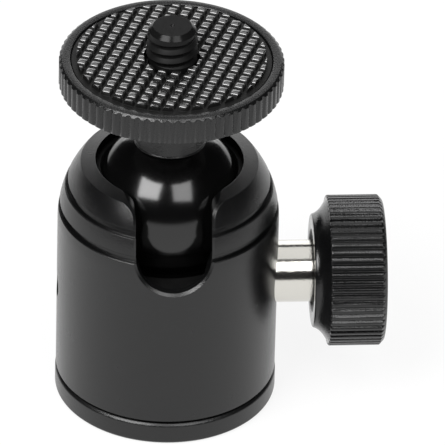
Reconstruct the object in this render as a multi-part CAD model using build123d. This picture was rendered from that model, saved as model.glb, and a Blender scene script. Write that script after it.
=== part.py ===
from build123d import *
import math
import os

# Tripod ball head, in millimetres.
# Z is the upright axis of the head, with Z = 0 on the face that screws down on a tripod.
# The drop slot faces -Y and the lock knob's axis runs along +X.

# ---- general fits ----
THREAD_FIT = 0.02        # radial gap of screws and pressed pieces, which don't move in their holes
RUN_FIT = 0.05           # radial gap of what turns or slides in its bore
EDGE = 0.25              # chamfer on small turned edges
SOCKET_DEPTH = 1.1       # depth of the hex sockets in the small screws
OVERCUT = 1.0            # cutters reach this far past what they cut

# ---- tripod thread and camera thread, 1/4 inch, 20 turns to the inch ----
THREAD_R = 3.175         # outside radius of the camera stud
SOCKET_R = 2.6           # radius of the tapped bore in the tripod bush

# ---- foot ----
CAP_PROUD = 0.07         # the foot ring stands out past the housing by this much, in radius
CAP_H = 3.0
CAP_CHAMFER = 0.35
CAP_GAP = 0.2            # shadow line between the foot ring and the housing
SPIGOT_H = 4.5           # threaded spigot above the foot ring
BUSH_R = 4.8
BUSH_H = 7.0

# ---- lock axis, and the ball above it ----
LOCK_Z = 16.5
BALL_R = 10.0
BALL_ABOVE_LOCK = 0.8    # the ball's lowest point stands this far above the lock axis

# ---- housing ----
WALL = 1.3
NECK_WALL = 2.5          # the wall around the upper seat, which makes the housing's radius
DOME_DROP = 2.3          # the dome starts this far below the ball's centre
MOUTH_UP = 6.0           # the mouth ring's outer edge stands this far above the ball's centre
MOUTH_RISE = 0.3         # the mouth ring rises this much towards the middle
MOUTH_OVERLAP = 0.8      # the mouth is this much smaller than the ball, in radius
LIP_H = 1.0
SEAT_WALL = 1.25         # thickness of the upper seat around the ball's equator
SEAT_BELOW = 2.1         # the upper seat reaches this far below the ball's centre
SEAT_STRAIGHT_UP = 2.9   # the seat's outside turns conical this far above the ball's centre
GROOVES = ((-0.22, 0.9), (2.92, 0.84))   # height above the ball's centre, and width
GROOVE_DEPTH = 0.6
GROOVE_EDGE = 0.12       # chamfer on both edges of the grooves
SLOT_GAP = 0.35          # room between the hub and each side of the drop slot
SLOT_CORNER_R = 1.8      # rounding where the slot opens into the mouth
SLOT_EDGE = 0.35         # chamfer along the slot's outside edge
SEAT_SLOT_GAP = 0.4      # the upper seat's slot is wider than the housing's by this much on each side

# ---- lift ring and lower seat ----
SEAT_T = 0.75            # wall of the lower seat
LIFT_T = 0.86            # thinnest wall of the lift ring
SEAT_FOOT = 0.4          # both are cut off flat this far above the ball's lowest point
LIFT_H = 4.5
SEAT_H = 2.6             # low enough to stay clear of the upper seat as it leans
FLANGE_H = 1.0
FLANGE_GAP = 0.15
WEDGE_ANGLE = 30.0
WEDGE_GAP = 0.05
STEP_GAP = 0.05

# ---- wedge plunger, screw and sleeve ----
PLUNGER_R = 3.0
PLUNGER_NOSE_R = 1.2
PLUNGER_L = 2.95         # length of its straight part
SCREW_R = 2.5
SLEEVE_R = 3.9
SLEEVE_SET_BACK = 0.4    # the sleeve ends this far outside the lift ring's step
SLEEVE_OUT = 5.7         # the sleeve stands this far out of the housing
SCREW_PITCH = 0.8
LOOSEN_TURNS = 0.556     # the clamp screw backs out this many turns, until its ring meets the thread
STOP_RING_T = 0.5
STOP_RING_LIP = 0.5      # how far the stop ring is let into the screw
STOP_RING_BACK = 0.3     # from the screw's inner end

# ---- guide ring and its set screw ----
RING_UP = 0.9            # the ring's top stands this far above the lock axis
RING_BORE_GAP = 0.84     # its bore is wider than the lift ring's foot by this much, in radius
RING_CLEAR = 0.2
SET_R = 1.5              # radius of the M3 set screws
SET_SINK = 0.6           # set screws lie this far below the surface
RING_SET_DROP = 1.3      # the ring's set screw lies this far below the lock axis
RING_SET_L = 3.2
CAP_SET_L = 2.6
CAP_SET_Z = 5.4
SET_SOCKET_R = 0.87      # across the corners of a 1.5 mm hex

# ---- drag spring ----
SPRING_R = 5.75          # middle of the wire
WIRE_R = 0.4
SPRING_TURNS = 5.5

# ---- knob ----
KNOB_GAP = 4.3           # from the housing to the knob's inner face
KNOB_R = 9.45
KNOB_FACE_R = 7.1
KNOB_RECESS_GAP = 1.3    # room between the sleeve and the recess around it, in radius
KNOB_RECESS_DEPTH = 2.5
KNOB_WAIST_L = 1.9       # length of the waist between the inner face and the knurl
KNOB_STEP = 0.6          # the waist's wide end is smaller than the grip by this much, in radius
KNOB_GRIP_L = 6.4
KNOB_CHAMFER = 0.6
KNOB_KNURL_COUNT = 60
KNOB_KNURL_DEPTH = 0.35
KNOB_HOLD = 3.4          # length of the clamp screw held in the knob
KNOB_WEB = 1.4           # wall between the clamp screw's end and the head of the knob's screw
KNOB_SCREW_R = 1.5
KNOB_SCREW_L = 4.0
KNOB_HEAD_R = 2.75
KNOB_HEAD_H = 1.45
KNOB_HEX_R = 1.44        # across the corners of a 2.5 mm hex

# ---- hub, platform and stem ----
HUB_R = 4.35
HUB_L = 8.4
HUB_FLARE = 3.4
HUB_BEAD = 0.12          # the bead around the hub's foot stands out by this much
BALL_FLAT_INSET = 0.45   # the flat on the ball is smaller than the hub by this much, in radius
HUB_SEAT_GAP = 0.03
STEM_R = 2.5
STEM_IN_BALL = 7.5
STEM_IN_HUB = 7.3
DISC_R = 13.88
DISC_H = 3.47
DISC_KNURL_COUNT = 70
DISC_KNURL_DEPTH = 0.25
DISC_BEVEL_W = 0.65      # the disc's upper edge is bevelled by this much in radius
DISC_BEVEL_H = 0.38      # and by this much in height
DISC_FOOT_EDGE = 0.12    # chamfer of the disc's lower edge
DISC_RIM_W = 1.43        # from the disc's edge in to the pad's recess
PAD_RECESS_DEPTH = 0.8
STUD_SINK = 3.1          # the stud reaches this far below the pad's recess
HUB_SET_R = 1.25         # radius of the M2.5 set screw in the hub
HUB_SET_UP = 4.0         # its height above the hub's foot
HUB_SET_SOCKET_R = 0.75

# ---- camera stud ----
STUD_OUT = 4.81          # the stud stands this far above the platform's rim
STUD_TAPER_L = 1.6
STUD_TIP_R = 2.39
STUD_BEVEL = 0.55        # the tip is bevelled by this much before the slow taper
STUD_DIMPLE_R = 0.3
STUD_NECK_R = 2.95       # plain neck below the thread, let into the platform

# ---- grip pad ----
PAD_GAP = 0.05
PAD_HOLE_R = 3.45
PAD_SUNK = 0.15          # the pad's base lies this far below the platform's rim
PAD_BUMP_H = 0.7
PAD_MARGIN = 0.5         # the bumps end this far inside the recess
PAD_PITCH = 1.65
PAD_GROOVE_TOP = 0.58
PAD_GROOVE_BOTTOM = 0.3
PAD_TURN = -22.0         # degrees, the bump rows' direction

# ---- knurls ----
RIB = ((-0.34, 0.25), (-0.14, 0.0), (0.14, 0.0), (0.34, 0.25), (0.5, 1.0))   # shares: around, and in depth

# ---- worked out from the sizes above ----
SEAT_R = BALL_R + RUN_FIT                      # every seat's hollow
SEAT_BORE_R = SEAT_R + SEAT_WALL
BODY_R = SEAT_BORE_R + NECK_WALL
CAP_R = BODY_R + CAP_PROUD
BALL_Z = LOCK_Z + BALL_ABOVE_LOCK + BALL_R
HOUSING_Z = CAP_H + CAP_GAP
SPIGOT_Z = CAP_H + SPIGOT_H
BORE_R = BODY_R - WALL
DOME_Z = BALL_Z - DOME_DROP
MOUTH_Z = BALL_Z + MOUTH_UP
MOUTH_R = BALL_R - MOUTH_OVERLAP
MOUTH_OUTER_R = math.sqrt(BODY_R**2 - (MOUTH_Z - DOME_Z) ** 2)
LIP_TOP_Z = MOUTH_Z + MOUTH_RISE
LIP_FOOT_Z = LIP_TOP_Z - LIP_H
SEAT_FOOT_Z = BALL_Z - SEAT_BELOW
SEAT_CONE_Z = BALL_Z + SEAT_STRAIGHT_UP
SLOT_HALF = HUB_R + SLOT_GAP

WEDGE_TAN = math.tan(math.radians(WEDGE_ANGLE))
WEDGE_TOP_Z = LOCK_Z + PLUNGER_R + WEDGE_GAP   # where the bevel meets the plunger's corner
LOWER_SHELL_R = SEAT_R + SEAT_T
LIFT_SHELL_R = LOWER_SHELL_R + RUN_FIT
WEDGE_X = (
    LIFT_SHELL_R + LIFT_T - (BALL_Z - WEDGE_TOP_Z) * math.cos(math.radians(WEDGE_ANGLE))
) / math.sin(math.radians(WEDGE_ANGLE))
LIFT_FOOT_Z = BALL_Z - BALL_R + SEAT_FOOT
LIFT_FOOT_R = WEDGE_X - (WEDGE_TOP_Z - LIFT_FOOT_Z) / WEDGE_TAN
LIFT_TOP_Z = LIFT_FOOT_Z + LIFT_H
LOWER_TOP_Z = LIFT_FOOT_Z + SEAT_H
STEP_R = WEDGE_X + STEP_GAP
SLEEVE_IN_X = STEP_R + SLEEVE_SET_BACK
SLEEVE_END_X = BODY_R + SLEEVE_OUT
SCREW_IN_X = WEDGE_X + PLUNGER_L + RUN_FIT
STOP_RING_X = SCREW_IN_X + STOP_RING_BACK
SLEEVE_SHOULDER_X = STOP_RING_X + STOP_RING_T + LOOSEN_TURNS * SCREW_PITCH

RING_TOP_Z = LOCK_Z + RING_UP
RING_OUTER_R = BORE_R - THREAD_FIT
RING_BORE_R = LIFT_FOOT_R + RING_BORE_GAP

KNOB_WAIST_R = KNOB_R - KNOB_STEP
KNOB_RECESS_R = SLEEVE_R + KNOB_RECESS_GAP
KNOB_X = BODY_R + KNOB_GAP
KNOB_GRIP_X = KNOB_X + KNOB_WAIST_L
KNOB_END_X = KNOB_GRIP_X + KNOB_GRIP_L + KNOB_CHAMFER
KNOB_FLOOR_X = KNOB_X + KNOB_RECESS_DEPTH
SCREW_END_X = KNOB_FLOOR_X + KNOB_HOLD
KNOB_HEAD_X = SCREW_END_X + KNOB_WEB

BALL_FLAT_R = HUB_R - BALL_FLAT_INSET
BALL_FLAT_Z = BALL_Z + math.sqrt(BALL_R**2 - BALL_FLAT_R**2)
HUB_Z = BALL_FLAT_Z + HUB_SEAT_GAP
DISC_Z = HUB_Z + HUB_L
DISC_TOP_Z = DISC_Z + DISC_H
PAD_RECESS_R = DISC_R - DISC_RIM_W
PAD_FIELD_R = PAD_RECESS_R - PAD_MARGIN
PAD_FLOOR_Z = DISC_TOP_Z - PAD_RECESS_DEPTH
PAD_BASE_Z = DISC_TOP_Z - PAD_SUNK
STUD_FOOT_Z = PAD_FLOOR_Z - STUD_SINK
STUD_TOP_Z = DISC_TOP_Z + STUD_OUT
STUD_THREAD_Z = PAD_BASE_Z + PAD_BUMP_H + PAD_GAP
STEM_TOP_Z = HUB_Z + STEM_IN_HUB


def turned(start, *steps):
    """A solid turned about Z.

    A step is a point (r, z) that a straight line goes to, or a pair of points: an arc through the
    first to the second.
    """
    edges = []
    here = start
    for step in (*steps, start):
        if isinstance(step[0], tuple):
            via, there = step
            edges.append(ThreePointArc(at(here), at(via), at(there)))
        else:
            there = step
            edges.append(Line(at(here), at(there)))
        here = there
    return revolve(make_face(edges), Axis.Z)


def at(point):
    """A point (r, z) of a turned outline, in space."""
    return (point[0], 0, point[1])


def round_r(radius, z, centre_z=BALL_Z):
    """The radius, at height z, of a sphere on the Z axis."""
    return math.sqrt(radius**2 - (z - centre_z) ** 2)


def rod(radius, low, high):
    """A round rod along Z."""
    return Pos(0, 0, low) * Cylinder(radius, high - low, align=(Align.CENTER, Align.CENTER, Align.MIN))


def lock_axis(shape):
    """Lay what was made along Z on the lock axis, with its Z along +X."""
    return Pos(0, 0, LOCK_Z) * Rot(0, 90, 0) * shape


def outward(shape, direction, height):
    """Lay what was made along Z on a level radius: direction is in degrees from +X."""
    return Pos(0, 0, height) * Rot(0, 0, direction) * Rot(0, 90, 0) * shape


def hex_socket(corner_r, floor, mouth):
    """The hex hole of a socket screw, between two heights on Z."""
    hexagon = RegularPolygon(corner_r, 6)
    return Pos(0, 0, floor) * extrude(hexagon, mouth - floor)


def set_screw(radius, socket_r, inner, outer):
    """A socket set screw along Z: a chamfered rod with a hex socket in its outer end."""
    body = turned(
        (0, inner), (radius - EDGE, inner), (radius, inner + EDGE), (radius, outer - EDGE / 2),
        (radius - EDGE / 2, outer), (0, outer),
    )
    return body - hex_socket(socket_r, outer - SOCKET_DEPTH, outer + OVERCUT)


def knurl_prism(radius, depth, count, low, high):
    """A prism of round-backed ribs with narrow valleys between, which cuts a knurl into a disc."""
    tooth = math.radians(360 / count)
    outline = []
    for i in range(count):
        for around, inward in RIB:
            angle = (i + around) * tooth
            reach = radius - inward * depth
            outline.append((reach * math.cos(angle), reach * math.sin(angle)))
    return Pos(0, 0, low) * extrude(make_face(Polyline(*outline, close=True)), high - low)


def slot_cutter(half_width, corner_r, top_z):
    """The U of the drop slot, from the middle out through the -Y side.

    Its corners widen to the mouth at top_z, and a corner radius of 0 leaves them straight.
    """
    bend = ThreePointArc(
        (-half_width, 0, BALL_Z), (0, 0, BALL_Z - half_width), (half_width, 0, BALL_Z)
    )
    turn_z = top_z - corner_r
    wide = half_width + corner_r
    above_z = top_z + OVERCUT
    side = [Line((half_width, 0, BALL_Z), (half_width, 0, turn_z))]
    if corner_r > 0:
        lean = corner_r * (1 - math.cos(math.radians(45)))
        side.append(
            ThreePointArc(
                (half_width, 0, turn_z),
                (half_width + lean, 0, turn_z + corner_r * math.sin(math.radians(45))),
                (wide, 0, top_z),
            )
        )
    side.append(Line((wide, 0, top_z), (wide, 0, above_z)))
    other = [edge.mirror(Plane.YZ) for edge in side]
    lid = Line((wide, 0, above_z), (-wide, 0, above_z))
    return extrude(make_face([bend, *side, *other, lid]), 2 * BODY_R, dir=(0, -1, 0))


def groove_cutter(height, width):
    """A square groove with chamfered edges around the dome, square to its surface."""
    z = BALL_Z + height
    rise = max(z - DOME_Z, 0)
    up = rise / BODY_R
    out = math.sqrt(1 - up**2)
    middle = (BODY_R * out, z)

    def corner(along, outward_by):
        return (middle[0] - along * up + outward_by * out, middle[1] + along * out + outward_by * up)

    half = width / 2
    wide = half + 2 * GROOVE_EDGE
    return turned(
        corner(-half, -GROOVE_DEPTH), corner(half, -GROOVE_DEPTH), corner(half, -GROOVE_EDGE),
        corner(wide, GROOVE_EDGE), corner(-wide, GROOVE_EDGE), corner(-half, -GROOVE_EDGE),
    )


def make_housing():
    dome_mid_z = (DOME_Z + MOUTH_Z) / 2
    body = turned(
        (BORE_R, HOUSING_Z),
        (BODY_R - EDGE, HOUSING_Z),
        (BODY_R, HOUSING_Z + EDGE),
        (BODY_R, DOME_Z),
        ((round_r(BODY_R, dome_mid_z, DOME_Z), dome_mid_z), (MOUTH_OUTER_R, MOUTH_Z)),
        (MOUTH_R, LIP_TOP_Z),
        (MOUTH_R, LIP_FOOT_Z),
        (SEAT_BORE_R, SEAT_CONE_Z),
        (SEAT_BORE_R, SEAT_FOOT_Z),
        (BORE_R, SEAT_FOOT_Z - (BORE_R - SEAT_BORE_R) / 2),
    )
    body -= slot_cutter(SLOT_HALF, SLOT_CORNER_R, LIP_TOP_Z)
    body = chamfer(slot_outside_edges(body), SLOT_EDGE)
    for height, width in GROOVES:
        body -= groove_cutter(height, width)
    body -= lock_axis(rod(SLEEVE_R + THREAD_FIT, 0, BODY_R + OVERCUT))
    set_hole = turned(
        (0, 0), (SET_R + THREAD_FIT, 0), (SET_R + THREAD_FIT, BODY_R - EDGE),
        (SET_R + THREAD_FIT + 2 * EDGE, BODY_R + EDGE), (0, BODY_R + EDGE),
    )
    body -= outward(set_hole, 180, LOCK_Z - RING_SET_DROP)
    body -= outward(set_hole, 90, CAP_SET_Z)
    return body


def slot_outside_edges(body):
    """The edges that the drop slot leaves on the outside of the cylinder and the dome."""
    edges = []
    for edge in body.edges():
        middle = edge @ 0.5
        reach = math.hypot(middle.X, middle.Y)
        above = max(middle.Z - DOME_Z, 0)
        on_skin = abs(math.hypot(reach, above) - BODY_R) < SLOT_EDGE / 10
        if on_skin and middle.Y < 0 and 0 < abs(middle.X) <= 2 * SLOT_HALF and middle.Z > HOUSING_Z + EDGE:
            edges.append(edge)
    return edges


def make_base_cap():
    spigot_r = BORE_R - THREAD_FIT
    cap = turned(
        (0, 0), (CAP_R - CAP_CHAMFER, 0), (CAP_R, CAP_CHAMFER), (CAP_R, CAP_H - CAP_CHAMFER),
        (CAP_R - CAP_CHAMFER, CAP_H), (spigot_r, CAP_H), (spigot_r, SPIGOT_Z - EDGE),
        (spigot_r - EDGE, SPIGOT_Z), (0, SPIGOT_Z),
    )
    cap -= rod(BUSH_R + THREAD_FIT, -OVERCUT, BUSH_H)
    cap -= outward(rod(SET_R + THREAD_FIT, BODY_R - SET_SINK - CAP_SET_L, BODY_R), 90, CAP_SET_Z)
    return cap


def make_tripod_bush():
    return turned(
        (SOCKET_R, 0), (BUSH_R, 0), (BUSH_R, BUSH_H - EDGE), (BUSH_R - EDGE, BUSH_H), (SOCKET_R, BUSH_H),
    )


def make_upper_seat():
    """A slotted ring: round inside to the ball above its equator, straight below it."""
    outer_r = SEAT_BORE_R - RUN_FIT
    top_z = LIP_FOOT_Z - RUN_FIT
    top_outer_r = MOUTH_R - RUN_FIT
    cone_z = SEAT_CONE_Z - RUN_FIT
    top_inner_r = round_r(SEAT_R, top_z)
    mid_z = (BALL_Z + top_z) / 2
    ring = turned(
        (SEAT_R, SEAT_FOOT_Z), (outer_r, SEAT_FOOT_Z), (outer_r, cone_z), (top_outer_r, top_z),
        (top_inner_r, top_z), ((round_r(SEAT_R, mid_z), mid_z), (SEAT_R, BALL_Z)),
    )
    return ring - slot_cutter(SLOT_HALF + SEAT_SLOT_GAP, 0, top_z)


def make_lower_seat():
    """The liner that the ball turns in: a band between two spheres about the ball's centre."""
    mid_z = (LIFT_FOOT_Z + LOWER_TOP_Z) / 2
    return turned(
        (round_r(SEAT_R, LOWER_TOP_Z), LOWER_TOP_Z),
        ((round_r(SEAT_R, mid_z), mid_z), (round_r(SEAT_R, LIFT_FOOT_Z), LIFT_FOOT_Z)),
        (round_r(LOWER_SHELL_R, LIFT_FOOT_Z), LIFT_FOOT_Z),
        ((round_r(LOWER_SHELL_R, mid_z), mid_z), (round_r(LOWER_SHELL_R, LOWER_TOP_Z), LOWER_TOP_Z)),
    )


def make_lift_ring():
    """Carries the lower seat; the plunger drives under its bevelled underside."""
    step_z = WEDGE_TOP_Z + (STEP_R - WEDGE_X) * WEDGE_TAN
    flange_r = BORE_R - FLANGE_GAP
    mid_z = (LIFT_FOOT_Z + LIFT_TOP_Z) / 2
    return turned(
        (round_r(LIFT_SHELL_R, LIFT_TOP_Z), LIFT_TOP_Z),
        ((round_r(LIFT_SHELL_R, mid_z), mid_z), (round_r(LIFT_SHELL_R, LIFT_FOOT_Z), LIFT_FOOT_Z)),
        (LIFT_FOOT_R, LIFT_FOOT_Z), (STEP_R, step_z), (STEP_R, LIFT_TOP_Z - FLANGE_H),
        (flange_r, LIFT_TOP_Z - FLANGE_H), (flange_r, LIFT_TOP_Z),
    )


def make_wedge_plunger():
    nose_x = WEDGE_X - (PLUNGER_R - PLUNGER_NOSE_R) / WEDGE_TAN
    return lock_axis(
        turned(
            (0, nose_x), (PLUNGER_NOSE_R, nose_x), (PLUNGER_R, WEDGE_X),
            (PLUNGER_R, WEDGE_X + PLUNGER_L), (0, WEDGE_X + PLUNGER_L),
        )
    )


def make_guide_ring():
    """Pressed in the bore on top of the foot's spigot; it holds the sleeve's inner end."""
    ring = rod(RING_OUTER_R, SPIGOT_Z, RING_TOP_Z) - rod(RING_BORE_R, SPIGOT_Z, RING_TOP_Z)
    ring -= lock_axis(rod(SLEEVE_R + THREAD_FIT, SLEEVE_IN_X, BODY_R))
    ring -= lock_axis(rod(PLUNGER_R + RING_CLEAR, 0, BODY_R))
    set_end = BODY_R - SET_SINK - RING_SET_L
    ring -= outward(rod(SET_R + THREAD_FIT, set_end, BODY_R), 180, LOCK_Z - RING_SET_DROP)
    return ring


def make_lock_bush():
    chamber_r = PLUNGER_R + RUN_FIT
    thread_r = SCREW_R + RUN_FIT
    return lock_axis(
        turned(
            (chamber_r, SLEEVE_IN_X), (SLEEVE_R, SLEEVE_IN_X), (SLEEVE_R, SLEEVE_END_X - EDGE),
            (SLEEVE_R - EDGE, SLEEVE_END_X), (thread_r, SLEEVE_END_X), (thread_r, SLEEVE_SHOULDER_X),
            (chamber_r, SLEEVE_SHOULDER_X),
        )
    )


def make_clamp_screw():
    groove_r = SCREW_R - STOP_RING_LIP
    screw = turned(
        (0, SCREW_IN_X), (SCREW_R, SCREW_IN_X), (SCREW_R, STOP_RING_X), (groove_r, STOP_RING_X),
        (groove_r, STOP_RING_X + STOP_RING_T), (SCREW_R, STOP_RING_X + STOP_RING_T),
        (SCREW_R, SCREW_END_X), (0, SCREW_END_X),
    )
    screw -= rod(KNOB_SCREW_R + THREAD_FIT, KNOB_HEAD_X - KNOB_SCREW_L - EDGE, SCREW_END_X)
    return lock_axis(screw)


def make_stop_ring():
    inner_r = SCREW_R - STOP_RING_LIP + THREAD_FIT
    low = STOP_RING_X + THREAD_FIT
    high = STOP_RING_X + STOP_RING_T - THREAD_FIT
    ring = rod(PLUNGER_R - RUN_FIT, low, high) - rod(inner_r, low, high)
    gap = Pos(1.5 * inner_r, 0, (low + high) / 2) * Box(2 * inner_r, inner_r, high - low)
    return lock_axis(ring - gap)


def make_knob():
    """Turned blank: waisted inner end with a recess for the sleeve, knurled grip, chamfered end."""
    waist_mid = (KNOB_FACE_R + 0.3 * (KNOB_WAIST_R - KNOB_FACE_R), KNOB_X + 0.6 * KNOB_WAIST_L)
    grip = turned(
        (0, KNOB_GRIP_X), (KNOB_R - 2 * EDGE, KNOB_GRIP_X), (KNOB_R, KNOB_GRIP_X + EDGE),
        (KNOB_R, KNOB_END_X - KNOB_CHAMFER), (KNOB_R - KNOB_CHAMFER, KNOB_END_X), (0, KNOB_END_X),
    )
    grip &= knurl_prism(KNOB_R, KNOB_KNURL_DEPTH, KNOB_KNURL_COUNT, KNOB_GRIP_X, KNOB_END_X)
    waist = turned(
        (0, KNOB_X), (KNOB_FACE_R - EDGE, KNOB_X), (KNOB_FACE_R, KNOB_X + EDGE),
        (waist_mid, (KNOB_WAIST_R, KNOB_GRIP_X)), (0, KNOB_GRIP_X),
    )
    knob = grip + waist
    knob -= rod(KNOB_RECESS_R, KNOB_X - OVERCUT, KNOB_FLOOR_X)
    knob -= rod(SCREW_R + THREAD_FIT, KNOB_X, SCREW_END_X)
    knob -= rod(KNOB_SCREW_R + THREAD_FIT, KNOB_X, KNOB_END_X)
    knob -= rod(KNOB_HEAD_R + RUN_FIT, KNOB_HEAD_X, KNOB_END_X + OVERCUT)
    return lock_axis(knob)


def make_knob_screw():
    """The socket screw that holds the knob on the clamp screw."""
    head_top = KNOB_HEAD_X + KNOB_HEAD_H
    screw = turned(
        (0, KNOB_HEAD_X - KNOB_SCREW_L), (KNOB_SCREW_R, KNOB_HEAD_X - KNOB_SCREW_L),
        (KNOB_SCREW_R, KNOB_HEAD_X), (KNOB_HEAD_R, KNOB_HEAD_X), (KNOB_HEAD_R, head_top - EDGE),
        (KNOB_HEAD_R - EDGE, head_top), (0, head_top),
    )
    return lock_axis(screw - hex_socket(KNOB_HEX_R, head_top - SOCKET_DEPTH, head_top + OVERCUT))


def make_ball():
    ball = Pos(0, 0, BALL_Z) * Sphere(BALL_R)
    ball -= rod(BALL_R, BALL_FLAT_Z, BALL_Z + 2 * BALL_R)
    ball -= rod(STEM_R + THREAD_FIT, BALL_FLAT_Z - STEM_IN_BALL, BALL_FLAT_Z)
    return ball


def make_ball_stem():
    low = BALL_FLAT_Z - STEM_IN_BALL
    return turned(
        (0, low), (STEM_R - EDGE, low), (STEM_R, low + EDGE), (STEM_R, STEM_TOP_Z - EDGE),
        (STEM_R - EDGE, STEM_TOP_Z), (0, STEM_TOP_Z),
    )


def make_platform():
    """The camera disc and its waisted hub, turned in one piece."""
    disc = turned(
        (0, DISC_Z), (DISC_R - DISC_FOOT_EDGE, DISC_Z), (DISC_R, DISC_Z + DISC_FOOT_EDGE),
        (DISC_R, DISC_TOP_Z - DISC_BEVEL_H), (DISC_R - DISC_BEVEL_W, DISC_TOP_Z), (0, DISC_TOP_Z),
    )
    disc &= knurl_prism(DISC_R, DISC_KNURL_DEPTH, DISC_KNURL_COUNT, DISC_Z, DISC_TOP_Z)
    lean = HUB_FLARE * (1 - math.cos(math.radians(45)))
    hub = turned(
        (0, HUB_Z), (HUB_R + HUB_BEAD, HUB_Z), (HUB_R + HUB_BEAD, HUB_Z + HUB_BEAD),
        (HUB_R, HUB_Z + 2 * HUB_BEAD), (HUB_R, DISC_Z - HUB_FLARE),
        ((HUB_R + lean, DISC_Z - lean), (HUB_R + HUB_FLARE, DISC_Z)),
        (HUB_R + HUB_FLARE, DISC_Z + EDGE), (0, DISC_Z + EDGE),
    )
    platform = disc + hub
    platform -= rod(PAD_RECESS_R, PAD_FLOOR_Z, DISC_TOP_Z + OVERCUT)
    platform -= rod(STUD_NECK_R + THREAD_FIT, STUD_FOOT_Z - RUN_FIT, DISC_TOP_Z)
    platform -= rod(STEM_R + RUN_FIT, HUB_Z - OVERCUT, DISC_Z)
    platform -= outward(rod(HUB_SET_R + THREAD_FIT, 0, 2 * HUB_R), 90, HUB_Z + HUB_SET_UP)
    return platform


def make_hub_set_screw():
    inner = STEM_R + 2 * RUN_FIT
    screw = set_screw(HUB_SET_R, HUB_SET_SOCKET_R, inner, HUB_R - THREAD_FIT - EDGE / 2)
    return outward(screw, 90, HUB_Z + HUB_SET_UP)


def make_grip_pad():
    """A disc with square bumps left standing between two sets of crossing grooves."""
    hole = rod(PAD_HOLE_R, PAD_FLOOR_Z - OVERCUT, DISC_TOP_Z + PAD_BUMP_H + OVERCUT)
    base = rod(PAD_RECESS_R - PAD_GAP, PAD_FLOOR_Z, PAD_BASE_Z)
    field = rod(PAD_FIELD_R, PAD_BASE_Z, PAD_BASE_Z + PAD_BUMP_H)
    bottom = PAD_GROOVE_BOTTOM / 2
    top = PAD_GROOVE_TOP / 2
    section = Polyline(
        (-bottom, PAD_BASE_Z), (bottom, PAD_BASE_Z), (top, PAD_BASE_Z + PAD_BUMP_H),
        (top, PAD_BASE_Z + PAD_BUMP_H + OVERCUT), (-top, PAD_BASE_Z + PAD_BUMP_H + OVERCUT),
        (-top, PAD_BASE_Z + PAD_BUMP_H), close=True,
    )
    profile = make_face(Plane.XZ * section)
    groove = extrude(profile, PAD_RECESS_R, both=True)
    rows = math.ceil(PAD_FIELD_R / PAD_PITCH)
    for turn in (PAD_TURN, PAD_TURN + 90):
        for i in range(-rows, rows + 1):
            field -= Rot(0, 0, turn) * Pos((i + 0.5) * PAD_PITCH, 0, 0) * groove
    return base + field - hole


def make_camera_stud():
    lead = THREAD_R - STUD_NECK_R
    return turned(
        (0, STUD_FOOT_Z), (STUD_NECK_R - EDGE, STUD_FOOT_Z), (STUD_NECK_R, STUD_FOOT_Z + EDGE),
        (STUD_NECK_R, STUD_THREAD_Z - lead), (THREAD_R, STUD_THREAD_Z),
        (THREAD_R, STUD_TOP_Z - STUD_TAPER_L), (STUD_TIP_R + STUD_BEVEL, STUD_TOP_Z - STUD_BEVEL),
        (STUD_TIP_R, STUD_TOP_Z), (STUD_DIMPLE_R, STUD_TOP_Z), (0, STUD_TOP_Z - STUD_DIMPLE_R),
    )


def make_drag_spring():
    """An open coil from the foot's spigot to the lift ring's foot."""
    low = SPIGOT_Z + WIRE_R + RUN_FIT
    height = LIFT_FOOT_Z - RUN_FIT - WIRE_R - low
    path = Pos(0, 0, low) * Helix(height / SPRING_TURNS, height, SPRING_R)
    wire = Plane(path @ 0, z_dir=path % 0) * Circle(WIRE_R)
    return sweep(wire, path=path, is_frenet=True)


def make_ring_set_screw():
    outer = BODY_R - SET_SINK
    return outward(set_screw(SET_R, SET_SOCKET_R, outer - RING_SET_L, outer), 180, LOCK_Z - RING_SET_DROP)


def make_cap_set_screw():
    outer = BODY_R - SET_SINK
    return outward(set_screw(SET_R, SET_SOCKET_R, outer - CAP_SET_L, outer), 90, CAP_SET_Z)


SUB_PARTS = {
    "housing": make_housing,
    "base_cap": make_base_cap,
    "tripod_bush": make_tripod_bush,
    "cap_set_screw": make_cap_set_screw,
    "guide_ring": make_guide_ring,
    "ring_set_screw": make_ring_set_screw,
    "lock_bush": make_lock_bush,
    "upper_seat": make_upper_seat,
    "drag_spring": make_drag_spring,
    "lift_ring": make_lift_ring,
    "lower_seat": make_lower_seat,
    "wedge_plunger": make_wedge_plunger,
    "clamp_screw": make_clamp_screw,
    "stop_ring": make_stop_ring,
    "knob": make_knob,
    "knob_screw": make_knob_screw,
    "ball": make_ball,
    "ball_stem": make_ball_stem,
    "platform": make_platform,
    "hub_set_screw": make_hub_set_screw,
    "grip_pad": make_grip_pad,
    "camera_stud": make_camera_stud,
}

os.makedirs("parts", exist_ok=True)
for node, make in SUB_PARTS.items():
    export_step(make(), f"parts/{node}.step")
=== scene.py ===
import math

import bmesh
import bpy
from bpy.props import FloatProperty, FloatVectorProperty, IntProperty, PointerProperty
from bpy.types import Operator, Panel, PropertyGroup
from mathutils import Matrix, Vector


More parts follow.
